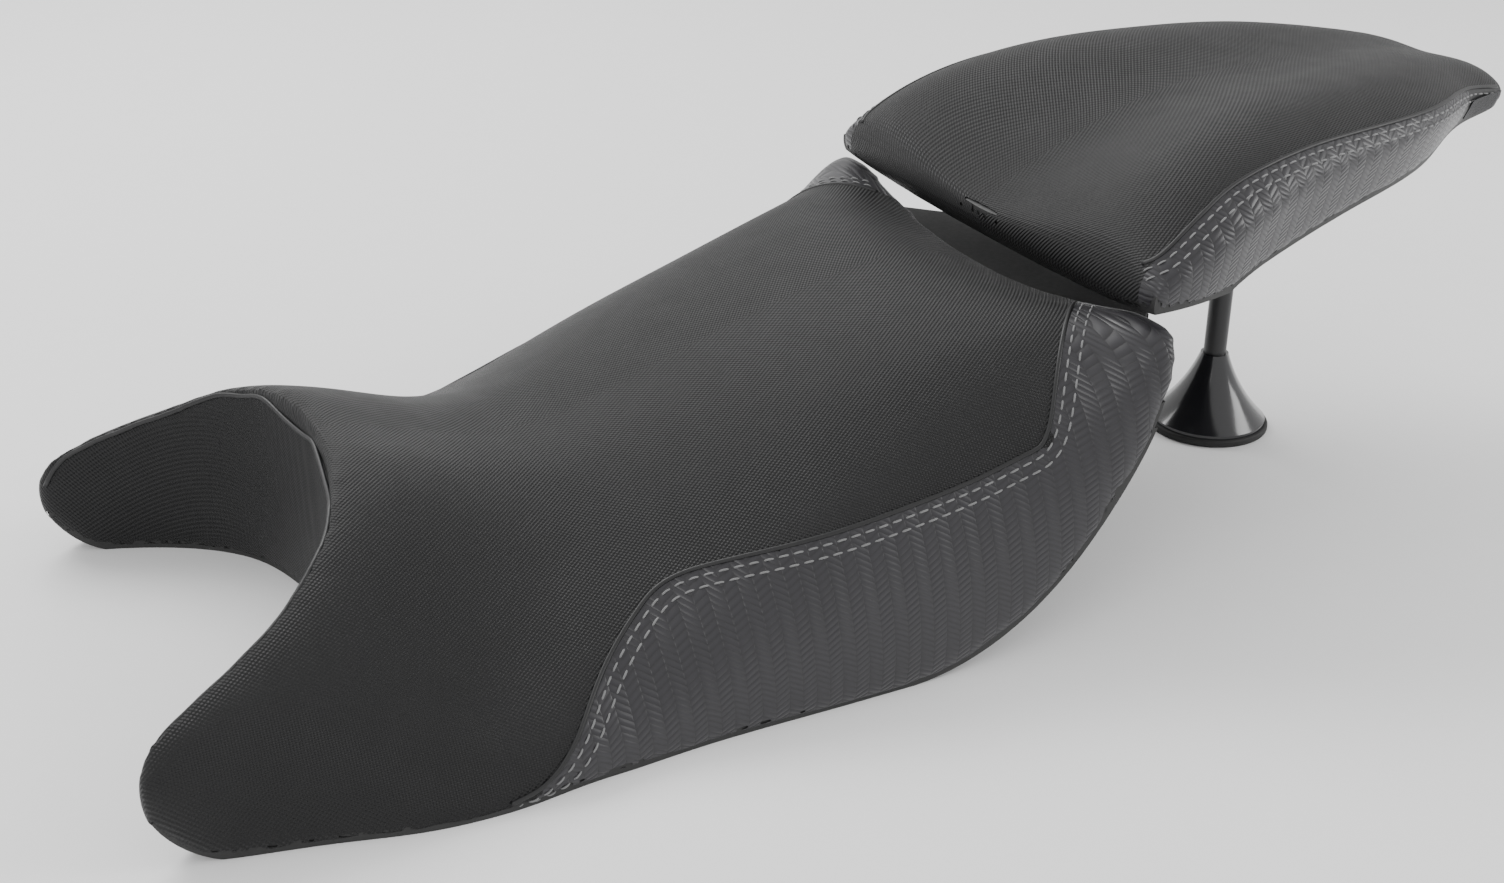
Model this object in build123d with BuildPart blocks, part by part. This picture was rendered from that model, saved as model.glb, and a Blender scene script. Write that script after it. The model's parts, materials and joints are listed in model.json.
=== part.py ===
"""Two-piece motorcycle seat on its display stand.

A rider saddle with two wings that reach forward round the fuel tank, a passenger seat whose front edge
rests on the tail of the saddle, and a small conical stand that props the passenger seat at its height.
Millimetres. +X points to the rear of the motorcycle, +Y to its right, +Z up. The origin is the middle of
the footprint, on the surface that the saddle's lower edge and the stand's foot rest on.
Longitudinal places are written as stations, measured rearwards from the tips of the wings.
"""

from build123d import *
import math
import os

# Driving dimensions.
LENGTH = 783.0          # wing tips to the tail of the passenger seat
COVER = 2.0             # thickness of the coated fabric
PAN_WALL = 3.0          # wall of both moulded pans
HEM_LIFT = 1.0          # the covers stop this far above the pan's rim
GAP = 0.3               # clearance between pieces on different bodies
TALL = 400.0            # longer than any cut has to be

# Cross-sections of the saddle. Each is (station, crown height at y = 0, then (half-width, height) pairs
# from the flat of the top, over the shoulder and down the flank to the lower edge).
RIDER_SECTIONS = [
    (-6, 62, (80, 61), (118, 57), (140, 46), (149, 24), (147, -3)),
    (29, 84, (80, 80), (116, 71), (138, 60), (152, 32), (152, -3)),
    (54, 97, (75, 92), (108, 81), (132, 68), (153, 34), (158, -3)),
    (77, 105, (68, 101), (100, 91), (128, 70), (155, 35), (164, -3)),
    (112, 109, (60, 105), (92, 91), (128, 63), (160, 26), (174, -3)),
    (148, 101, (58, 96), (92, 78), (130, 52), (162, 24), (175, -3)),
    (195, 89, (58, 84), (94, 70), (130, 51), (161, 25), (169, -3)),
    (245, 94, (68, 90), (106, 79), (140, 59), (162, 30), (167, -3)),
    (305, 114, (80, 109), (116, 98), (146, 75), (165, 38), (167, -3)),
    (355, 129, (86, 125), (120, 113), (149, 84), (167, 44), (167, -3)),
    (405, 141, (88, 139), (122, 129), (151, 98), (169, 60), (168, -3)),
    (445, 139, (90, 143), (122, 142), (153, 126), (169, 90), (166, 20)),
    (488, 129, (90, 137), (122, 143), (152, 143), (166, 120), (162, 50)),
]
NOSE = [(26, 0), (7, 14), (0, 33), (5, 50), (20, 75)]        # side view of the wing tips
SWEEP = [(338, 0), (372, 9), (410, 35), (440, 68), (463, 102), (476, 134), (484, 160)]  # upswept rear edge

# Plan of the notch that takes the tank, from the mouth at one wing tip to its deepest point.
NOTCH_HALF = [(-20, 142), (25, 131), (54, 119), (77, 104), (94, 85), (106, 55), (114, 0)]

# Seam between the top panel and each side panel: side view up to the corner, plan behind it.
SEAM_SIDE = [(139, -8), (160, 10), (186, 33), (212, 52), (232, 63), (262, 70), (320, 79), (375, 89), (416, 101)]

# Floor of the foam, which is the deck of the saddle's pan, in side view.
RIDER_DECK = [(-30, 26), (40, 30), (90, 44), (150, 50), (210, 44), (300, 58), (390, 84), (450, 110), (500, 124)]

FAR_REAR = [(900, 0), (900, 300)]
OPEN_REAR = [(560, 0), (560, 300)]      # plain rear limit, clear of the upswept edge
NOSE_OPEN = [(-40, 0), (-40, 300)]
SEAM_PLAN = [(100, 100), (415, 100), (416, 148), (440, 121), (465, 95), (500, 60)]
REAR_PANEL_BOTTOM = 104.0       # the panel that closes the back of the saddle starts here

# Flange that carries on from the back of the saddle, under the front of the passenger seat.
FLANGE_START = 462.0
FLANGE_END = 540.0
FLANGE_WIDTH = 272.0
FLANGE_Z = 119.0

# Under the saddle.
HOOK_STATION = 138.0
HOOK_WIDTH = 44.0
HOOK_BOTTOM = 24.0
STEEL = 4.0
BRACKET_STATION = 392.0
BRACKET_DEPTH = 34.0
BRACKET_WIDTH = 150.0
BRACKET_BOTTOM = 58.0
LEG_WIDTH = 22.0
BOLT_SPACING = 84.0
BOLT_HOLE_RADIUS = 4.5
SCREW_HEAD_RADIUS = 6.0
SCREW_HEAD_HEIGHT = 4.0
SCREW_SPACING = 34.0
BUFFER_RADIUS = 9.0
BUFFER_STATIONS = [175, 262, 345]
BUFFER_HALF_SPACING = 112.0
BUFFER_BOTTOM = 6.0

# Cross-sections of the passenger seat: (station, crown, then (half-width, height) pairs: the top's shoulder,
# the edge where the flank begins, and the flank's lower end).
PASSENGER_SECTIONS = [
    (455, 150, (118, 158), (149, 151), (147, 143)),
    (478, 166, (118, 178), (149, 166), (148, 153)),
    (498, 178, (116, 192), (148, 175), (145, 153)),
    (528, 192, (110, 205), (143, 186), (135, 155)),
    (568, 206, (100, 215), (132, 196), (123, 160)),
    (625, 215, (90, 219), (119, 202), (109, 169)),
    (690, 218, (74, 219), (99, 206), (89, 178)),
    (745, 214, (52, 213), (69, 203), (61, 186)),
    (769, 209, (46, 208), (61, 200), (55, 187)),
    (783, 201, (30, 200), (43, 196), (40, 190)),
]
PASSENGER_RIM = [(430, 130), (488, 132), (522, 147), (568, 159), (625, 169), (690, 178), (745, 186), (800, 192)]
FRONT_ARCH = [(-150, 152), (0, 135), (150, 152)]    # its front lower edge seen from the front
PASSENGER_NOSE = [(492, 130), (477, 143), (469, 154), (471, 167), (480, 190)]
PASSENGER_SEAM_SIDE = [(452, 155), (478, 174), (504, 189), (535, 201), (580, 208), (640, 210), (700, 210), (730, 208)]
PASSENGER_SEAM_PLAN = [(440, 138), (490, 134), (506, 60), (730, 12)]
PASSENGER_DECK = [(440, 158), (500, 164), (560, 174), (640, 184), (720, 192), (800, 197)]
PASSENGER_SEAM_TAIL = [(730, 208), (745, 206), (757, 204), (770, 202), (800, 197)]      # plain tail panel
DECK_PLATE = 3.0
POCKET_STATIONS = [520, 592, 684]
POCKET_LENGTH = 46.0
POCKET_WIDTH = 60.0
POCKET_HALF_SPACING = 42.0

# Under the passenger seat.
STRIKER_STATION = 556.0
STRIKER_PLATE_Z = 149.0
SCREW_OFFSET = 23.5
STRIKER_ROD_RADIUS = 4.0
STRIKER_REACH = 22.0
STRIKER_SPAN = 26.0
PLATE_LENGTH = 56.0
PLATE_WIDTH = 26.0
PAD_RADIUS = 17.0
TONGUE_WIDTH = 64.0
FRONT_BUFFER_HALF_SPACING = 96.0
LABEL_LENGTH = 30.0
LABEL_HEIGHT = 11.0
LABEL_THICKNESS = 1.0
LABEL_STATION = 750.0
LABEL_Z = 196.0

# Stand.
STAND_STATION = 640.0
FOOT_RADIUS = 35.0
FOOT_RING = 4.5
FOOT_GROOVE = 2.0
CONE_TOP = 46.0
CONE_TOP_RADIUS = 8.0
CONE_WALL = 3.0
NECK_RADIUS = 6.5
NECK_TOP = 128.0
HEAD_RADIUS = 17.0
STAND_TOP = 146.0
HEAD_PAD = 3.0
BALLAST_HEIGHT = 12.0


def fore(station):
    """X of a station."""
    return station - LENGTH / 2


def along(points, shift=0.0, lift=0.0):
    """Side-view or plan points with their station turned into X, moved by shift and lift."""
    return [(fore(s) + shift, v + lift) for s, v in points]


def section_outline(half, inset):
    """Left edge over the crown to the right edge of a section, lowered and narrowed by inset."""
    crown = (0.0, half[0] - inset)
    narrow = 1 - inset / max(y for y, z in half[1:])
    side = [(y * narrow, z - inset) for y, z in half[1:]]
    return [(-y, z) for y, z in reversed(side)] + [crown] + side


def shared_parameters(outlines):
    """Spline parameters common to all sections: each point's share of the outline, averaged over them."""
    shares = []
    for outline in outlines:
        steps = [math.dist(a, b) for a, b in zip(outline, outline[1:])]
        shares.append([sum(steps[:i]) / sum(steps) for i in range(len(outline))])
    return [sum(column) / len(shares) for column in zip(*shares)]


def slab(points, lift, limit):
    """A prism across the whole width, between a side-view curve moved up by lift and the height limit."""
    curve = along(points, lift=lift)
    with BuildPart() as prism:
        with BuildSketch(Plane.XZ):
            with BuildLine():
                Spline(*curve)
                Polyline(curve[-1], (curve[-1][0], limit), (curve[0][0], limit), curve[0])
            make_face()
        extrude(amount=TALL / 2, both=True)
    return prism.part


def notch_prism(grow):
    """The tank notch as an upright prism, its wall moved into the saddle by grow."""
    half = along(NOTCH_HALF)
    scale = (half[-1][0] + grow - half[0][0]) / (half[-1][0] - half[0][0])
    wall = [(half[0][0] + (x - half[0][0]) * scale, y + grow * y / NOTCH_HALF[0][1]) for x, y in half]
    mirrored = [(x, -y) for x, y in reversed(wall[:-1])]
    with BuildPart() as prism:
        with BuildSketch(Plane.XY):
            with BuildLine():
                Spline(*wall, *mirrored)
                Line(mirrored[-1], wall[0])
            make_face()
        extrude(amount=TALL, both=True)
    return prism.part


def side_trim(front, back, low):
    """The full-width prism between a front edge and a rear edge seen from the side, down to the height low."""
    start = (front[0][0], min(low, front[0][1]))
    end = (back[0][0], min(low, back[0][1]))
    with BuildPart() as prism:
        with BuildSketch(Plane.XZ):
            with BuildLine():
                Spline(*front)
                Polyline(front[-1], (front[-1][0], TALL), (back[-1][0], TALL), back[-1])
                Spline(*back)
                if end != back[0]:
                    Line(back[0], end)
                Line(end, start)
                if start != front[0]:
                    Line(start, front[0])
            make_face()
        extrude(amount=TALL / 2, both=True)
    return prism.part


def lofted(sections, inset, low, corner=False):
    """Solid through the sections, inset by a skin thickness, with upright sides carried down to low.

    With corner, each section's last pair is the lower end of a straight flank.
    """
    outlines = [section_outline(half, inset) for station, *half in sections]
    curves = [outline[1:-1] if corner else outline for outline in outlines]
    parameters = shared_parameters(curves)
    with BuildPart() as form:
        for (station, *half), outline, curve in zip(sections, outlines, curves):
            left, right = outline[0], outline[-1]
            with BuildSketch(Plane.YZ.offset(fore(station))):
                with BuildLine():
                    add(Edge.make_spline([Vector(*point) for point in curve], parameters=parameters))
                    if corner:
                        Line(curve[-1], right)
                        Line(left, curve[0])
                    Polyline(right, (right[0], low), (left[0], low), left)
                make_face()
        loft()
    return form.part


def rider_form(inset, low):
    """The saddle's outer form without its rear trim."""
    nose = side_trim(along(NOSE, shift=inset), along(OPEN_REAR), low)
    return clipped(lofted(RIDER_SECTIONS, inset, low), nose, cut=[notch_prism(inset)])


def passenger_form(inset, low):
    """The passenger seat's outer form without its lower trim, its last section moved in by inset."""
    last = (PASSENGER_SECTIONS[-1][0] - inset, *PASSENGER_SECTIONS[-1][1:])
    nose = side_trim(along(PASSENGER_NOSE, shift=inset), along(FAR_REAR), low)
    return clipped(lofted([*PASSENGER_SECTIONS[:-1], last], inset, low, corner=True), nose)


def outboard(points, sign):
    """An upright prism beyond a plan curve on one side: sign -1 is the left side, +1 the right."""
    edge = [(x, sign * y) for x, y in along(points)]
    far = sign * TALL / 2
    with BuildPart() as prism:
        with BuildSketch(Plane.XY):
            with BuildLine():
                Polyline(*edge, (edge[-1][0], far), (edge[0][0], far), edge[0])
            make_face()
        extrude(amount=TALL, both=True)
    return prism.part


def clipped(solid, *tools, cut=()):
    """What is left of a solid inside every tool and outside every cut."""
    with BuildPart() as result:
        add(solid)
        for tool in tools:
            add(tool, mode=Mode.INTERSECT)
        for tool in cut:
            add(tool, mode=Mode.SUBTRACT)
    return result.part


def deliver_panel(panel, name):
    """Names a cover panel without the slivers that a seam can leave, and writes it out."""
    deliver(max(panel.solids(), key=lambda piece: piece.volume), name)


def deliver(solid, name):
    """Names one node and writes it out."""
    solid.label = name
    export_step(solid, f"parts/{name}.step")


os.makedirs("parts", exist_ok=True)

# Saddle: one outer form, the same form inset by the cover, and again inset by the pan's wall.
outer = rider_form(0, -10)
inner = rider_form(COVER, -20)
cavity = rider_form(COVER + PAN_WALL, -30)
under_sweep = side_trim(along(NOSE_OPEN), along(SWEEP), 0)
cover_trim = side_trim(along(NOSE_OPEN), along(SWEEP, lift=HEM_LIFT), HEM_LIFT)
back_strip = side_trim(along(SWEEP, shift=-COVER), along(OPEN_REAR), 0)
with BuildPart() as above_panel:
    with Locations((0, 0, REAR_PANEL_BOTTOM)):
        Box(3 * LENGTH, TALL, TALL, align=(Align.CENTER, Align.CENTER, Align.MIN))
rear_zone = clipped(back_strip, above_panel.part)
foam_zone = slab(RIDER_DECK, 0, TALL)
pan_zone = slab(RIDER_DECK, 0, -TALL)
pan_hollow = slab(RIDER_DECK, -DECK_PLATE, -TALL)

deliver(clipped(inner, foam_zone, under_sweep, cut=[rear_zone]), "rider_foam")
deliver(clipped(inner, pan_zone, under_sweep, cut=[clipped(cavity, pan_hollow), rear_zone]), "rider_base_pan")

shell = clipped(outer, cover_trim, cut=[inner])
wall_zone = notch_prism(COVER)
deliver_panel(clipped(shell, wall_zone), "rider_cover_tank_wall")
deliver_panel(clipped(outer, cover_trim, rear_zone, inner), "rider_cover_rear")
side_zone = slab(SEAM_SIDE, 0, -TALL)
with BuildPart() as behind_corner:
    with Locations((fore(SEAM_SIDE[-1][0]), 0, 0)):
        Box(LENGTH, TALL, 2 * TALL, align=(Align.MIN, Align.CENTER, Align.CENTER))
with BuildPart() as seam_zone:
    add(side_zone)
    add(behind_corner.part)
side_zones = []
for side, sign in (("left", -1), ("right", 1)):
    zone = clipped(outboard(SEAM_PLAN, sign), seam_zone.part)
    side_zones.append(zone)
    deliver_panel(clipped(shell, zone), f"rider_cover_side_{side}")
deliver_panel(clipped(shell, cut=[wall_zone, *side_zones]), "rider_cover_top")

with BuildPart() as rider_rear_flange:
    with Locations((fore(FLANGE_START), 0, FLANGE_Z)):
        Box(FLANGE_END - FLANGE_START, FLANGE_WIDTH, STEEL, align=(Align.MIN, Align.CENTER, Align.MIN))
    add(under_sweep, mode=Mode.SUBTRACT)
deliver(rider_rear_flange.part, "rider_rear_flange")

# Fittings under the saddle, each trimmed to seat on the underside of the pan's deck.
with BuildPart() as rider_front_hook:
    with Locations((fore(HOOK_STATION), 0, HOOK_BOTTOM)):
        Box(STEEL, HOOK_WIDTH, TALL / 2, align=(Align.MAX, Align.CENTER, Align.MIN))
        Box(HOOK_WIDTH / 2, HOOK_WIDTH, STEEL, align=(Align.MIN, Align.CENTER, Align.MIN))
    add(pan_hollow, mode=Mode.INTERSECT)
deliver(rider_front_hook.part, "rider_front_hook")

with BuildPart() as rider_rear_bracket:
    with Locations((fore(BRACKET_STATION), 0, BRACKET_BOTTOM)):
        Box(BRACKET_DEPTH, BRACKET_WIDTH, STEEL, align=(Align.CENTER, Align.CENTER, Align.MIN))
    leg_centre = (BRACKET_WIDTH - LEG_WIDTH) / 2
    with Locations(*[(fore(BRACKET_STATION), sign * leg_centre, BRACKET_BOTTOM) for sign in (-1, 1)]):
        Box(BRACKET_DEPTH / 2, LEG_WIDTH, TALL / 2, align=(Align.CENTER, Align.CENTER, Align.MIN))
    add(pan_hollow, mode=Mode.INTERSECT)
    with Locations(*[(fore(BRACKET_STATION), sign * BOLT_SPACING / 2, BRACKET_BOTTOM) for sign in (-1, 1)]):
        Cylinder(BOLT_HOLE_RADIUS, 4 * STEEL, mode=Mode.SUBTRACT)
deliver(rider_rear_bracket.part, "rider_rear_bracket")

with BuildPart() as rider_bracket_screws:
    with Locations(*[(fore(BRACKET_STATION), sign * leg_centre, BRACKET_BOTTOM) for sign in (-1, 1)]):
        Cylinder(SCREW_HEAD_RADIUS, SCREW_HEAD_HEIGHT, align=(Align.CENTER, Align.CENTER, Align.MAX))
deliver(rider_bracket_screws.part, "rider_bracket_screws")

with BuildPart() as rider_rubber_buffers:
    places = [(fore(s), sign * BUFFER_HALF_SPACING, BUFFER_BOTTOM) for s in BUFFER_STATIONS for sign in (-1, 1)]
    with Locations(*places):
        Cylinder(BUFFER_RADIUS, TALL / 2, align=(Align.CENTER, Align.CENTER, Align.MIN))
    add(pan_hollow, mode=Mode.INTERSECT)
deliver(rider_rubber_buffers.part, "rider_rubber_buffers")

# Passenger seat.
with BuildPart() as arch:
    with BuildSketch(Plane.YZ):
        with BuildLine():
            edge = ThreePointArc(*FRONT_ARCH)
            Polyline(edge @ 1, (FRONT_ARCH[2][0], TALL), (FRONT_ARCH[0][0], TALL), edge @ 0)
        make_face()
    extrude(amount=LENGTH, both=True)
p_above = clipped(arch.part, slab(PASSENGER_RIM, 0, TALL))
p_below = slab(PASSENGER_RIM, 0, -TALL)
p_outer = passenger_form(0, 100)
p_inner = passenger_form(COVER, 90)
p_foam_zone = slab(PASSENGER_DECK, 0, TALL)
p_pan_zone = slab(PASSENGER_DECK, 0, -TALL)
p_pocket_zone = slab(PASSENGER_DECK, -DECK_PLATE, -TALL)
core = clipped(p_inner, p_above)
deliver(clipped(core, p_foam_zone), "passenger_foam")

with BuildPart() as pockets:
    centres = [(fore(s), sign * POCKET_HALF_SPACING, 0) for s in POCKET_STATIONS for sign in (-1, 1)]
    with Locations(*centres):
        Box(POCKET_LENGTH, POCKET_WIDTH, 2 * TALL)
    add(p_pocket_zone, mode=Mode.INTERSECT)
deliver(clipped(core, p_pan_zone, cut=[pockets.part]), "passenger_base_pan")

p_shell = clipped(p_outer, p_above, cut=[p_inner])
tail_zone = slab(PASSENGER_SEAM_TAIL, 0, -TALL)
deliver_panel(clipped(p_shell, tail_zone), "passenger_cover_tail")
p_zones = []
p_side_zone = slab(PASSENGER_SEAM_SIDE, 0, -TALL)
for side, sign in (("left", -1), ("right", 1)):
    zone = clipped(outboard(PASSENGER_SEAM_PLAN, sign), p_side_zone)
    p_zones.append(zone)
    deliver_panel(clipped(p_shell, zone), f"passenger_cover_side_{side}")
deliver_panel(clipped(p_shell, cut=[tail_zone, *p_zones]), "passenger_cover_top")

# Fittings under the passenger seat, each seated on its underside.
with BuildPart() as passenger_latch_striker:
    with Locations((fore(STRIKER_STATION), 0, STRIKER_PLATE_Z)):
        Box(PLATE_WIDTH, PLATE_LENGTH, TALL / 4, align=(Align.CENTER, Align.CENTER, Align.MIN))
    add(p_below, mode=Mode.INTERSECT)
    half_span = STRIKER_SPAN / 2
    bottom = STRIKER_PLATE_Z - STRIKER_REACH
    with Locations(*[(fore(STRIKER_STATION), sign * half_span, bottom) for sign in (-1, 1)]):
        Cylinder(STRIKER_ROD_RADIUS, STRIKER_REACH + 1, align=(Align.CENTER, Align.CENTER, Align.MIN))
        Sphere(STRIKER_ROD_RADIUS)
    with Locations((fore(STRIKER_STATION), 0, bottom)):
        Cylinder(STRIKER_ROD_RADIUS, STRIKER_SPAN, rotation=(90, 0, 0))
deliver(passenger_latch_striker.part, "passenger_latch_striker")

with BuildPart() as passenger_striker_screws:
    with Locations(*[(fore(STRIKER_STATION), sign * SCREW_OFFSET, STRIKER_PLATE_Z) for sign in (-1, 1)]):
        Cylinder(STRIKER_ROD_RADIUS, STEEL, align=(Align.CENTER, Align.CENTER, Align.MAX))
deliver(passenger_striker_screws.part, "passenger_striker_screws")

with BuildPart() as passenger_support_pad:
    with Locations((fore(STAND_STATION), 0, STAND_TOP + GAP)):
        Cylinder(PAD_RADIUS, TALL / 4, align=(Align.CENTER, Align.CENTER, Align.MIN))
    add(p_below, mode=Mode.INTERSECT)
deliver(passenger_support_pad.part, "passenger_support_pad")

with BuildPart() as passenger_side_label:
    with Locations((fore(LABEL_STATION), -TALL / 4, LABEL_Z)):
        Box(LABEL_LENGTH, TALL / 2, LABEL_HEIGHT)
    add(passenger_form(-LABEL_THICKNESS, 100), mode=Mode.INTERSECT)
    add(p_outer, mode=Mode.SUBTRACT)
deliver(passenger_side_label.part, "passenger_side_label")

# Stand.
x_stand = fore(STAND_STATION)
with BuildPart() as stand_foot_ring:
    with Locations((x_stand, 0, 0)):
        Cylinder(FOOT_RADIUS, FOOT_RING, align=(Align.CENTER, Align.CENTER, Align.MIN))
        Cylinder(FOOT_RADIUS - 4 * CONE_WALL, FOOT_RING, align=(Align.CENTER, Align.CENTER, Align.MIN), mode=Mode.SUBTRACT)
    fillet(stand_foot_ring.edges().filter_by(GeomType.CIRCLE).group_by(SortBy.RADIUS)[-1], 1.5)
deliver(stand_foot_ring.part, "stand_foot_ring")

base_radius = FOOT_RADIUS - FOOT_GROOVE
with BuildPart() as stand_cone:
    with BuildSketch(Plane.XZ.move(Location((x_stand, 0, 0)))):
        with BuildLine():
            flare = Spline(
                (base_radius, FOOT_RING + FOOT_GROOVE),
                (base_radius * 0.62, FOOT_RING + CONE_TOP * 0.36),
                (CONE_TOP_RADIUS, CONE_TOP),
            )
            Polyline(flare @ 1, (NECK_RADIUS, CONE_TOP), (NECK_RADIUS, CONE_TOP - 4 * CONE_WALL))
            Polyline(
                (NECK_RADIUS, CONE_TOP - 4 * CONE_WALL),
                (base_radius - 2 * CONE_WALL, FOOT_RING),
                (base_radius, FOOT_RING),
                flare @ 0,
            )
        make_face()
    revolve(axis=Axis((x_stand, 0, 0), (0, 0, 1)))
deliver(stand_cone.part, "stand_cone")

with BuildPart() as stand_neck:
    with Locations((x_stand, 0, CONE_TOP - 4 * CONE_WALL)):
        Cylinder(NECK_RADIUS, NECK_TOP - CONE_TOP + 4 * CONE_WALL, align=(Align.CENTER, Align.CENTER, Align.MIN))
deliver(stand_neck.part, "stand_neck")

with BuildPart() as stand_head:
    with BuildSketch(Plane.XZ.move(Location((x_stand, 0, 0)))):
        with BuildLine():
            lower = (NECK_RADIUS, CONE_TOP * 2)
            rim = (HEAD_RADIUS, STAND_TOP - HEAD_PAD)
            cup = Spline((NECK_RADIUS + CONE_WALL, CONE_TOP * 2), (NECK_RADIUS + 1.4 * CONE_WALL, NECK_TOP - 8), rim)
            Polyline(rim, (0, STAND_TOP - HEAD_PAD), (0, NECK_TOP), (NECK_RADIUS, NECK_TOP), lower, cup @ 0)
        make_face()
    revolve(axis=Axis((x_stand, 0, 0), (0, 0, 1)))
deliver(stand_head.part, "stand_head")

with BuildPart() as stand_head_pad:
    with Locations((x_stand, 0, STAND_TOP)):
        Cylinder(HEAD_RADIUS - 1, HEAD_PAD, align=(Align.CENTER, Align.CENTER, Align.MAX))
deliver(stand_head_pad.part, "stand_head_pad")

with BuildPart() as stand_ballast:
    with Locations((x_stand, 0, FOOT_RING)):
        Cylinder(NECK_RADIUS * 2, BALLAST_HEIGHT, align=(Align.CENTER, Align.CENTER, Align.MIN))
deliver(stand_ballast.part, "stand_ballast")
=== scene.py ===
"""Motorcycle seat set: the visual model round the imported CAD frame. Metres, the frame's own axes."""

import json
import math

import bmesh
import bpy
import numpy as np
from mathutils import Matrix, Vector
from mathutils.bvhtree import BVHTree


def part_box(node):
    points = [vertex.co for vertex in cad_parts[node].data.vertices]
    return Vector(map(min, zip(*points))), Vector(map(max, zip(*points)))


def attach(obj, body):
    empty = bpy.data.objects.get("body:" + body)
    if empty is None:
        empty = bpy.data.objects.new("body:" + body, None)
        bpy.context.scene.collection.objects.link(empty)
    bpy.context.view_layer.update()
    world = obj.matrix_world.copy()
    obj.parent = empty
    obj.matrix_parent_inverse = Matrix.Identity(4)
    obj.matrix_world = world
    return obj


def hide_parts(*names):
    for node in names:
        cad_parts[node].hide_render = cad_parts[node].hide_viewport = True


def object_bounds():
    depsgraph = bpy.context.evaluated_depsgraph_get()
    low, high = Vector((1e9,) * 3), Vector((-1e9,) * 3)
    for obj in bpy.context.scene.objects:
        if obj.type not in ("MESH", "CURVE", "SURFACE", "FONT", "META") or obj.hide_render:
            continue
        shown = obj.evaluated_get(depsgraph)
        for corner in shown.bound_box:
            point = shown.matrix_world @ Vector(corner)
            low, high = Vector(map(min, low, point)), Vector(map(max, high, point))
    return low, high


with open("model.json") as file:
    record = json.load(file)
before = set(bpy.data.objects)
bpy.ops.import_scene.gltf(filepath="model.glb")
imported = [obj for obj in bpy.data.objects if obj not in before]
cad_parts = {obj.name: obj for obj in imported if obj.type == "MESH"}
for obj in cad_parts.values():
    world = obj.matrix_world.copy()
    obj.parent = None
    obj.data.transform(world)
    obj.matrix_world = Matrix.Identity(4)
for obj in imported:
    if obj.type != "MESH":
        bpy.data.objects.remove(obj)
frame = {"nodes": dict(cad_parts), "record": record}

cad_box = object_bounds()

MM = 0.001
NOSE_X = cad_box[0][0]              # the wing tips; stations are millimetres behind them
VOXEL = 2.8 * MM                    # edge of the grid that the skins are remeshed on
SKIN_SMOOTHING = 14                 # rounds that relax a remeshed skin
REACH = 0.02                        # a face of the skin belongs to a CAD node no further off than this
CLEAR = 0.30                        # rays are cast from well above and beside the seats

# Seams, in stations and millimetres: side view up to the corner, plan view behind it.
RIDER_SEAM_SIDE = [(141, 4), (160, 10), (186, 33), (212, 52), (232, 63), (262, 70), (320, 79), (375, 89),
                   (414, 101)]
RIDER_SEAM_PLAN = [(418, 146), (440, 121), (465, 95)]
PASSENGER_SEAM_SIDE = [(474, 171), (504, 189), (535, 201), (580, 208), (640, 210), (700, 210), (730, 208),
                       (745, 206), (757, 204), (768, 202)]
NOTCH_HALF = [(3, 137), (25, 131), (54, 119), (77, 104), (94, 85), (106, 55), (114, 0)]

WELT_RADIUS = 1.1 * MM
STITCH_LENGTH = 4.6 * MM
STITCH_PITCH = 6.8 * MM
STITCH_RADIUS = 0.42 * MM
STITCH_RISE = 1.25                  # how far a thread's middle stands up, in radii
STITCH_SINK = 0.35                  # how far its ends are pressed in, in radii
STITCH_ROWS = (4.2 * MM, 9.4 * MM)  # distances of the two rows from the panel's edge
STITCH_RINGS = 7                    # cross-sections along one stitch
STITCH_SIDES = 6
SEAM_LIFT = 0.1 * MM
PIPING_RADIUS = 1.3 * MM
PIPING_LIFT = 0.2 * MM
PIPING_OFFSET = 1.2                 # millimetres from the notch's wall to the middle of its piping


def at(station, y, z):
    """A point from a station and millimetres."""
    return Vector((NOSE_X + station * MM, y * MM, z * MM))


# Node materials -------------------------------------------------------------------------------------------

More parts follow.
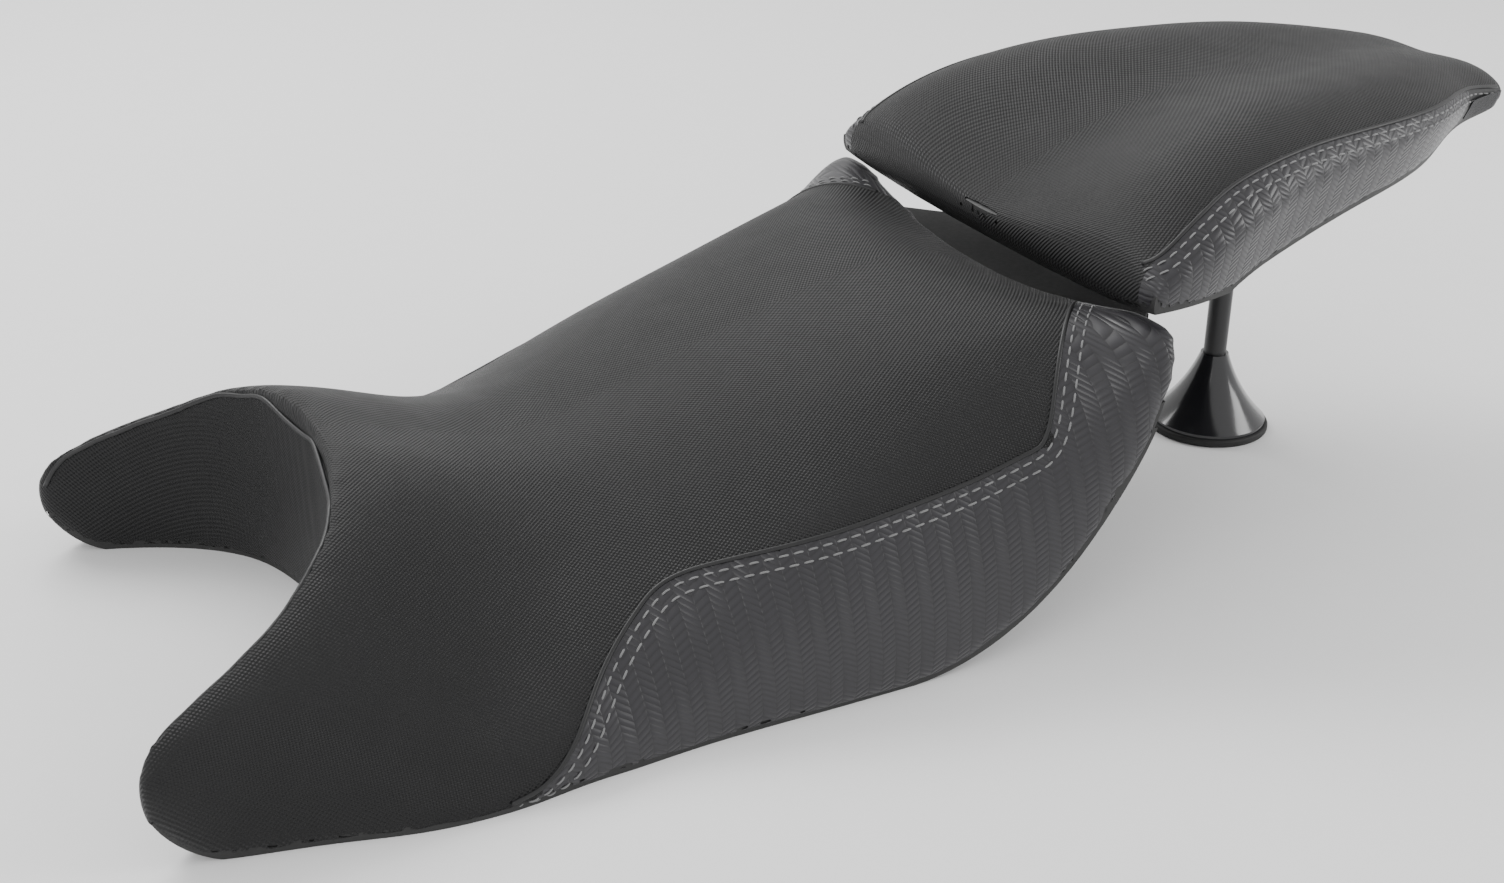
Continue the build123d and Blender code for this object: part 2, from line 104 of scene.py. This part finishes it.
class Nodes:
    """A short way to write a node material."""

    def __init__(self, name, colour, roughness, **inputs):
        self.material = bpy.data.materials.new(name)
        self.material.use_nodes = True
        self.tree = self.material.node_tree
        self.shader = self.tree.nodes["Principled BSDF"]
        self.shader.inputs["Base Color"].default_value = (*colour, 1)
        self.shader.inputs["Roughness"].default_value = roughness
        for key, value in inputs.items():
            self.shader.inputs[key.replace("_", " ")].default_value = value
        self.position = self.tree.nodes.new("ShaderNodeTexCoord").outputs["Object"]
        split = self.tree.nodes.new("ShaderNodeSeparateXYZ")
        self.tree.links.new(self.position, split.inputs[0])
        self.x, self.y, self.z = split.outputs

    def math(self, operation, a, b=0.0, c=0.0):
        node = self.tree.nodes.new("ShaderNodeMath")
        node.operation = operation
        for socket, value in zip(node.inputs, (a, b, c)):
            if isinstance(value, (int, float)):
                socket.default_value = value
            else:
                self.tree.links.new(value, socket)
        return node.outputs[0]

    def noise(self, scale, detail=3.0):
        node = self.tree.nodes.new("ShaderNodeTexNoise")
        node.inputs["Scale"].default_value = scale
        node.inputs["Detail"].default_value = detail
        self.tree.links.new(self.position, node.inputs["Vector"])
        return node.outputs["Fac"]

    def ramp(self, value, low, high, target):
        """Maps 0..1 to a range of numbers or colours and feeds it to a shader socket."""
        node = self.tree.nodes.new("ShaderNodeMapRange" if isinstance(low, float) else "ShaderNodeMix")
        if isinstance(low, float):
            node.inputs["To Min"].default_value = low
            node.inputs["To Max"].default_value = high
            self.tree.links.new(value, node.inputs["Value"])
            out = node.outputs["Result"]
        else:
            node.data_type = "RGBA"
            node.inputs["A"].default_value = (*low, 1)
            node.inputs["B"].default_value = (*high, 1)
            self.tree.links.new(value, node.inputs["Factor"])
            out = node.outputs["Result"]
        self.tree.links.new(out, self.shader.inputs[target])

    def bump(self, height, distance, strength=1.0):
        node = self.tree.nodes.new("ShaderNodeBump")
        node.inputs["Strength"].default_value = strength
        node.inputs["Distance"].default_value = distance
        self.tree.links.new(height, node.inputs["Height"])
        self.tree.links.new(node.outputs["Normal"], self.shader.inputs["Normal"])


def woven_vinyl(name, colour, light, pitch=2.5 * MM):
    """Matte coated fabric with a fine basket emboss that follows the top and bends down the flanks."""
    m = Nodes(name, colour, 0.5, Specular_IOR_Level=0.3, Sheen_Weight=0.02, Sheen_Roughness=0.5)
    across = m.math("SUBTRACT", m.math("ABSOLUTE", m.y), m.z)
    u = m.math("SINE", m.math("MULTIPLY", m.x, math.tau / pitch))
    v = m.math("SINE", m.math("MULTIPLY", across, math.tau / pitch))
    basket = m.math("MULTIPLY", u, v)
    grain = m.math("MULTIPLY_ADD", m.noise(900.0), 0.5, basket)
    m.bump(grain, 0.3 * MM, 0.9)
    shade = m.math("MULTIPLY_ADD", basket, 0.3, m.noise(26.0))
    m.ramp(shade, colour, light, "Base Color")
    m.ramp(m.noise(60.0), 0.42, 0.56, "Roughness")
    return m.material


def chevron_vinyl(name, colour, light, column=6.6 * MM, row=2.7 * MM):
    """Satin coated fabric embossed like carbon weave: columns of strips that tilt one way, then the other."""
    m = Nodes(name, colour, 0.36, Specular_IOR_Level=0.55, Sheen_Weight=0.05)
    u = m.math("DIVIDE", m.x, column)
    fold = m.math("PINGPONG", u, 1.0)
    slant = m.math("MULTIPLY", fold, column * 0.55)
    strip = m.math("FRACT", m.math("DIVIDE", m.math("ADD", m.z, slant), row))
    ridge = m.math("SINE", m.math("MULTIPLY", strip, math.pi))
    valley = m.math("POWER", m.math("ABSOLUTE", m.math("SINE", m.math("MULTIPLY", u, math.pi))), 0.35)
    relief = m.math("MULTIPLY", ridge, valley)
    m.bump(relief, 0.4 * MM, 0.7)
    tone = m.math("MULTIPLY_ADD", m.noise(30.0), 0.35, m.math("MULTIPLY", relief, 0.7))
    m.ramp(tone, colour, light, "Base Color")
    m.ramp(strip, 0.3, 0.46, "Roughness")
    return m.material


def plain(name, colour, light, rough, grain_scale, depth, **inputs):
    """A moulded, cast or drawn surface: two near colours, uneven gloss and a fine grain."""
    m = Nodes(name, colour, rough, **inputs)
    m.ramp(m.noise(40.0), colour, light, "Base Color")
    m.ramp(m.noise(grain_scale * 0.3), max(rough - 0.08, 0.03), rough + 0.08, "Roughness")
    m.bump(m.noise(grain_scale, 6.0), depth, 0.6)
    return m.material


def brushed(name, colour, rough):
    """Metal with fine lines along its length."""
    m = Nodes(name, colour, rough, Metallic=1.0)
    wander = m.math("MULTIPLY", m.noise(300.0), 0.0006)
    lines = m.math("SINE", m.math("MULTIPLY", m.math("ADD", m.z, wander), 9000.0))
    m.bump(lines, 0.02 * MM, 0.4)
    m.ramp(m.noise(80.0), rough - 0.08, rough + 0.1, "Roughness")
    return m.material


TOP = woven_vinyl("woven_vinyl", (0.0042, 0.0042, 0.0045), (0.0085, 0.0085, 0.009))
# A darker copy of the top vinyl for the tank notch's wall and the rear face: painted shade, as both are the
# same top_vinyl as the top.
WALL_SHADED_TOP = woven_vinyl("wall_vinyl_painted_shade", (0.004, 0.004, 0.0045), (0.008, 0.008, 0.0085))
SIDE = chevron_vinyl("chevron_vinyl", (0.009, 0.0085, 0.010), (0.021, 0.020, 0.024))
TAIL = plain("tail_vinyl", (0.006, 0.006, 0.0065), (0.011, 0.011, 0.0115), 0.5, 1500.0, 0.08 * MM)
THREAD = plain("thread", (0.12, 0.12, 0.123), (0.2, 0.2, 0.2), 0.6, 2500.0, 0.05 * MM, Sheen_Weight=0.3)
WELT = plain("welt_vinyl", (0.005, 0.005, 0.0055), (0.01, 0.01, 0.0105), 0.45, 1800.0, 0.06 * MM)
PLASTIC = plain("pan_plastic", (0.012, 0.012, 0.012), (0.022, 0.022, 0.022), 0.55, 1400.0, 0.1 * MM)
RUBBER = plain("rubber", (0.010, 0.010, 0.010), (0.018, 0.018, 0.018), 0.7, 1200.0, 0.08 * MM)
BLACK_STEEL = plain("black_steel", (0.014, 0.014, 0.015), (0.022, 0.022, 0.023), 0.38, 1600.0, 0.04 * MM)
CONE = plain("cone_gloss", (0.010, 0.010, 0.012), (0.014, 0.014, 0.016), 0.2, 260.0, 0.02 * MM,
             Coat_Weight=0.6, Coat_Roughness=0.12)
STEEL = brushed("steel", (0.55, 0.55, 0.56), 0.34)
LABEL = woven_vinyl("label_cloth", (0.012, 0.012, 0.014), (0.03, 0.03, 0.034), 0.7 * MM)
CAD_MATERIALS = {
    "pan_plastic": PLASTIC, "steel_black": BLACK_STEEL, "steel": STEEL, "rubber": RUBBER,
    "label_fabric": LABEL, "cone_gloss": CONE,
}


def dress_cad_nodes():
    """Gives every carried-over CAD node its procedural material."""
    for entry in frame["record"]["subparts"]:
        material = CAD_MATERIALS.get(entry["material_slot"])
        if material:
            mesh = frame["nodes"][entry["node"]].data
            mesh.materials.clear()
            mesh.materials.append(material)


# Upholstery -----------------------------------------------------------------------------------------------

def joined_mesh(names):
    """One mesh with copies of several CAD nodes."""
    bm = bmesh.new()
    for name in names:
        bm.from_mesh(frame["nodes"][name].data)
    mesh = bpy.data.meshes.new("joined")
    bm.to_mesh(mesh)
    bm.free()
    return mesh


def link(mesh, name):
    piece = bpy.data.objects.new(name, mesh)
    bpy.context.scene.collection.objects.link(piece)
    return piece


def apply_modifiers(piece):
    """Replaces a piece's mesh by what its modifiers make of it."""
    bpy.context.view_layer.update()
    graph = bpy.context.evaluated_depsgraph_get()
    made = bpy.data.meshes.new_from_object(piece.evaluated_get(graph))
    piece.modifiers.clear()
    piece.data = made


def skin(names):
    """A smooth closed skin round several CAD nodes: voxel remesh, then relaxed."""
    piece = link(joined_mesh(names), "skin")
    remesh = piece.modifiers.new("remesh", "REMESH")
    remesh.mode = "VOXEL"
    remesh.voxel_size = VOXEL
    smooth = piece.modifiers.new("smooth", "CORRECTIVE_SMOOTH")
    smooth.use_only_smooth = True
    smooth.iterations = SKIN_SMOOTHING
    smooth.factor = 0.5
    apply_modifiers(piece)
    return piece


def search_tree(mesh):
    """A tree that finds the nearest point on a mesh and casts rays at it."""
    return BVHTree.FromPolygons([v.co for v in mesh.vertices], [p.vertices for p in mesh.polygons])


def split_by_node(body, names):
    """Shares the skin's faces out to the nearest of the named CAD nodes."""
    trees = {name: search_tree(frame["nodes"][name].data) for name in names}
    parts = {}
    mesh = body.data
    owner = []
    for polygon in mesh.polygons:
        near = {name: tree.find_nearest(polygon.center, REACH)[3] for name, tree in trees.items()}
        near = {name: distance for name, distance in near.items() if distance is not None}
        owner.append(min(near, key=near.get) if near else None)
    for name in names:
        bm = bmesh.new()
        bm.from_mesh(mesh)
        bm.faces.ensure_lookup_table()
        others = [face for face, own in zip(bm.faces, owner) if own != name]
        bmesh.ops.delete(bm, geom=others, context="FACES")
        part = bpy.data.meshes.new(name)
        bm.to_mesh(part)
        bm.free()
        part.shade_smooth()
        parts[name] = part
    return parts


def upholster(body, prefix, covers, hidden):
    """Makes the cover pieces of one seat and returns the search tree of its whole skin."""
    names = [f"{prefix}_cover_{cover}" for cover in covers]
    whole = skin(names + hidden)
    tree = search_tree(whole.data)
    parts = split_by_node(whole, names + [f"{prefix}_base_pan"])
    for cover, name in zip(covers, names):
        material, slot = COVER_LOOKS[cover]
        piece = link(parts[name], f"{prefix}_{cover}_cover")
        refine = piece.modifiers.new("refine", "SUBSURF")
        refine.levels = 1
        apply_modifiers(piece)
        piece.data.shade_smooth()
        piece.data.materials.clear()
        piece.data.materials.append(material)
        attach(piece, body)
        if cover == "top":
            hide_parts(name, f"{prefix}_foam")
        else:
            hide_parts(name)
    bpy.data.objects.remove(whole)
    return tree


COVER_LOOKS = {
    "top": (TOP, "top_vinyl"),
    "side_left": (SIDE, "side_vinyl"),
    "side_right": (SIDE, "side_vinyl"),
    # The tank wall and the rear take the darker copy of the top vinyl, which is painted shade on the same
    # top_vinyl.
    "tank_wall": (WALL_SHADED_TOP, "top_vinyl"),
    "rear": (WALL_SHADED_TOP, "top_vinyl"),
    "tail": (TAIL, "tail_vinyl"),
}


# Seams and stitches ---------------------------------------------------------------------------------------

def spline(points, step=1.5 * MM):
    """Evenly spaced points on a smooth curve through the given ones."""
    p = [Vector(q) for q in points]
    p = [p[0] * 2 - p[1]] + p + [p[-1] * 2 - p[-2]]
    dense = []
    for a, b, c, d in zip(p, p[1:], p[2:], p[3:]):
        for t in np.linspace(0, 1, 24, endpoint=False):
            dense.append(0.5 * (2 * b + (c - a) * t + (2 * a - 5 * b + 4 * c - d) * t**2
                                + (3 * b - a - 3 * c + d) * t**3))
    dense.append(p[-2])
    even = [dense[0]]
    for q in dense:
        while (q - even[-1]).length >= step:
            even.append(even[-1] + (q - even[-1]).normalized() * step)
    return even


def smooth_path(points, rounds=6):
    """Takes the small steps out of a path of cast points."""
    for _ in range(rounds):
        points = ([points[0]] + [(a + 2 * b + c) / 4 for a, b, c in zip(points, points[1:], points[2:])]
                  + [points[-1]])
    return points


def cast_side(tree, points, sign):
    """Side-view points carried in from one side onto the skin."""
    hits = []
    for p in points:
        start = Vector((p.x, sign * CLEAR, p.z))
        hit = tree.ray_cast(start, Vector((0, -sign, 0)))[0]
        if hit is not None:
            hits.append(hit)
    return hits


def cast_down(tree, points):
    """Plan points dropped onto the skin."""
    hits = []
    for p in points:
        hit = tree.ray_cast(Vector((p.x, p.y, CLEAR)), Vector((0, 0, -1)))[0]
        if hit is not None:
            hits.append(hit)
    return hits


def frames(tree, path):
    """For each point of a path: the point, its direction and the skin's normal."""
    out = []
    for i, p in enumerate(path):
        tangent = (path[min(i + 2, len(path) - 1)] - path[max(i - 2, 0)]).normalized()
        normal = tree.find_nearest(p)[1]
        normal = (normal - tangent * normal.dot(tangent)).normalized()
        out.append((p, tangent, normal))
    return out


def ring(bm, centre, across, up, sides):
    """One closed loop of vertices on an ellipse."""
    return [bm.verts.new(centre + across * math.cos(a) + up * math.sin(a))
            for a in (math.tau * k / sides for k in range(sides))]


def join_rings(bm, rings):
    """Walls between neighbouring rings, and a cap at each end."""
    sides = len(rings[0])
    for a, b in zip(rings, rings[1:]):
        for k in range(sides):
            bm.faces.new((a[k], a[(k + 1) % sides], b[(k + 1) % sides], b[k]))
    bm.faces.new(rings[0][::-1])
    bm.faces.new(rings[-1])


def smooth_mesh(bm, name):
    """Turns a bmesh into a smooth-shaded mesh with its normals outwards."""
    bmesh.ops.recalc_face_normals(bm, faces=bm.faces)
    mesh = bpy.data.meshes.new(name)
    bm.to_mesh(mesh)
    bm.free()
    mesh.shade_smooth()
    return mesh


def tube(name, rail, radius, lift, flat=0.7, around=10):
    """A bead of oval section laid along a rail of frames."""
    bm = bmesh.new()
    rings = []
    for p, tangent, normal in rail:
        side = tangent.cross(normal)
        centre = p + normal * lift
        rings.append(ring(bm, centre, side * radius, normal * (radius * flat), around))
    join_rings(bm, rings)
    return link(smooth_mesh(bm, name), name)


def finish_trim(piece, material, body):
    piece.data.materials.append(material)
    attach(piece, body)
    return piece


def stitches(name, tree, rail, offset, body):
    """One row of short raised threads beside a seam, pressed a little into the cover at each end."""
    bm = bmesh.new()
    line = []
    for p, tangent, normal in rail:
        moved = p + tangent.cross(normal) * offset
        line.append(tree.find_nearest(moved)[0])
    line = smooth_path(line, 4)
    travelled = [0.0]
    for a, b in zip(line, line[1:]):
        travelled.append(travelled[-1] + (b - a).length)
    travelled = np.array(travelled)
    xyz = np.array([tuple(p) for p in line])
    count = int(travelled[-1] / STITCH_PITCH)
    for k in range(count):
        spots = np.linspace(k * STITCH_PITCH, k * STITCH_PITCH + STITCH_LENGTH, STITCH_RINGS)
        pts = [Vector([float(np.interp(s, travelled, xyz[:, c])) for c in range(3)]) for s in spots]
        rings = []
        for i, q in enumerate(pts):
            t = i / (len(pts) - 1)
            bulge = math.sin(math.pi * t)
            near, normal = tree.find_nearest(q)[:2]
            tangent = (pts[min(i + 1, STITCH_RINGS - 1)] - pts[max(i - 1, 0)]).normalized()
            side = tangent.cross(normal).normalized()
            centre = near + normal * (STITCH_RADIUS * (STITCH_RISE * bulge - STITCH_SINK))
            radius = STITCH_RADIUS * (0.55 + 0.45 * min(1.0, bulge * 1.8))
            rings.append(ring(bm, centre, side * (radius * 1.15), normal * radius, STITCH_SIDES))
        join_rings(bm, rings)
    return finish_trim(link(smooth_mesh(bm, name), name), THREAD, body)


def sewn_seam(name, tree, path, body, towards_top):
    """The panel edge's raised fold along a seam, with its two rows of stitches."""
    rail = frames(tree, smooth_path(path, 10))
    finish_trim(tube(f"{name}_fold", rail, WELT_RADIUS, SEAM_LIFT), WELT, body)
    for row, offset in enumerate(STITCH_ROWS, 1):
        stitches(f"{name}_stitches_{row}", tree, rail, towards_top * offset, body)


dress_cad_nodes()
rider = upholster("rider_seat", "rider", ["top", "side_left", "side_right", "tank_wall", "rear"],
                  ["rider_foam", "rider_base_pan"])
passenger = upholster("passenger_seat", "passenger", ["top", "side_left", "side_right", "tail"],
                      ["passenger_foam", "passenger_base_pan"])

for side, sign in (("left", -1), ("right", 1)):
    lower = cast_side(rider, spline([at(s, 0, z) for s, z in RIDER_SEAM_SIDE]), sign)
    upper = cast_down(rider, spline([at(s, sign * y, 0) for s, y in RIDER_SEAM_PLAN]))
    sewn_seam(f"rider_seam_{side}", rider, lower + upper, "rider_seat", -sign)
    edge = cast_side(passenger, spline([at(s, 0, z) for s, z in PASSENGER_SEAM_SIDE]), sign)
    sewn_seam(f"passenger_seam_{side}", passenger, edge, "passenger_seat", -sign)

half = [at(s, y + PIPING_OFFSET, 0) for s, y in NOTCH_HALF]
other = [Vector((p.x, -p.y, 0)) for p in reversed(half[:-1])]
rim = frames(rider, smooth_path(cast_down(rider, spline(half + other, 2 * MM)), 8))
finish_trim(tube("tank_notch_piping", rim, PIPING_RADIUS, PIPING_LIFT, 0.9), WELT, "rider_seat")


def rear_flange(straight=0.28, reach=0.7, front_width=0.86, rear_width=0.62, easing=1.2 * MM):
    """The pan's rear flange: a moulded plate that narrows under the passenger seat, with eased edges.

    Its lengths and widths are fractions of the CAD node's box.
    """
    low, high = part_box("rider_rear_flange")
    mid = low.x + (high.x - low.x) * straight
    end = low.x + (high.x - low.x) * reach
    wide, narrow = high.y * front_width, high.y * rear_width
    plan = [(low.x, -wide), (mid, -wide), (end, -narrow), (end, narrow), (mid, wide), (low.x, wide)]
    bm = bmesh.new()
    face = bm.faces.new([bm.verts.new((x, y, low.z)) for x, y in plan])
    lifted = bmesh.ops.extrude_face_region(bm, geom=[face])["geom"]
    top = [v for v in lifted if isinstance(v, bmesh.types.BMVert)]
    bmesh.ops.translate(bm, vec=(0, 0, high.z - low.z), verts=top)
    bmesh.ops.bevel(bm, geom=bm.edges[:], offset=easing, segments=3, affect="EDGES")
    bmesh.ops.recalc_face_normals(bm, faces=bm.faces)
    mesh = bpy.data.meshes.new("rear_flange")
    bm.to_mesh(mesh)
    bm.free()
    piece = finish_trim(link(mesh, "rear_flange"), PLASTIC, "rider_seat")
    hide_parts("rider_rear_flange")


rear_flange()


# Studio ---------------------------------------------------------------------------------------------------

def floor(size=6.0):
    """A flat pale floor that reaches well past the view."""
    bm = bmesh.new()
    bm.faces.new([bm.verts.new((x * size, y * size, 0)) for x, y in ((-1, -1), (1, -1), (1, 1), (-1, 1))])
    mesh = bpy.data.meshes.new("floor")
    bm.to_mesh(mesh)
    bm.free()
    piece = link(mesh, "floor")
    white = plain("floor_white", (0.93, 0.93, 0.93), (0.95, 0.95, 0.95), 0.7, 200.0, 0.01 * MM)
    piece.data.materials.append(white)


def softbox(name, place, target, size, power):
    light = bpy.data.lights.new(name, "AREA")
    light.shape = "RECTANGLE"
    light.size, light.size_y = size
    light.energy = power
    piece = bpy.data.objects.new(name, light)
    bpy.context.scene.collection.objects.link(piece)
    piece.location = place
    piece.rotation_euler = (Vector(target) - Vector(place)).to_track_quat("-Z", "Y").to_euler()


SKY_STRENGTH = 0.95
CAMERA_PLACE = (-0.4391, -0.7722, 0.4682)
LOOK = Vector((0.4022, 0.8062, -0.4339))
SENSOR_WIDTH = 36.0
LENS = 44.3

floor()
softbox("key", (-0.5, 1.4, 1.7), target=(0, 0, 0.1), size=(1.6, 0.9), power=34)
softbox("fill", (-1.8, -1.2, 1.2), target=(-0.1, 0, 0.1), size=(1.2, 1.2), power=14)
softbox("rim", (1.6, -0.9, 1.1), target=(0.1, 0, 0.1), size=(0.7, 1.1), power=16)
world = bpy.data.worlds.new("studio")
world.use_nodes = True
sky = world.node_tree.nodes["Background"].inputs
sky["Color"].default_value = (1, 1, 1, 1)
sky["Strength"].default_value = SKY_STRENGTH
bpy.context.scene.world = world

camera_data = bpy.data.cameras.new("camera")
camera_data.sensor_width = SENSOR_WIDTH
camera_data.lens = LENS
camera_data.clip_start = 0.01
camera = bpy.data.objects.new("camera", camera_data)
camera.location = CAMERA_PLACE
camera.rotation_euler = LOOK.to_track_quat("-Z", "Y").to_euler()
bpy.context.scene.collection.objects.link(camera)
bpy.context.scene.camera = camera
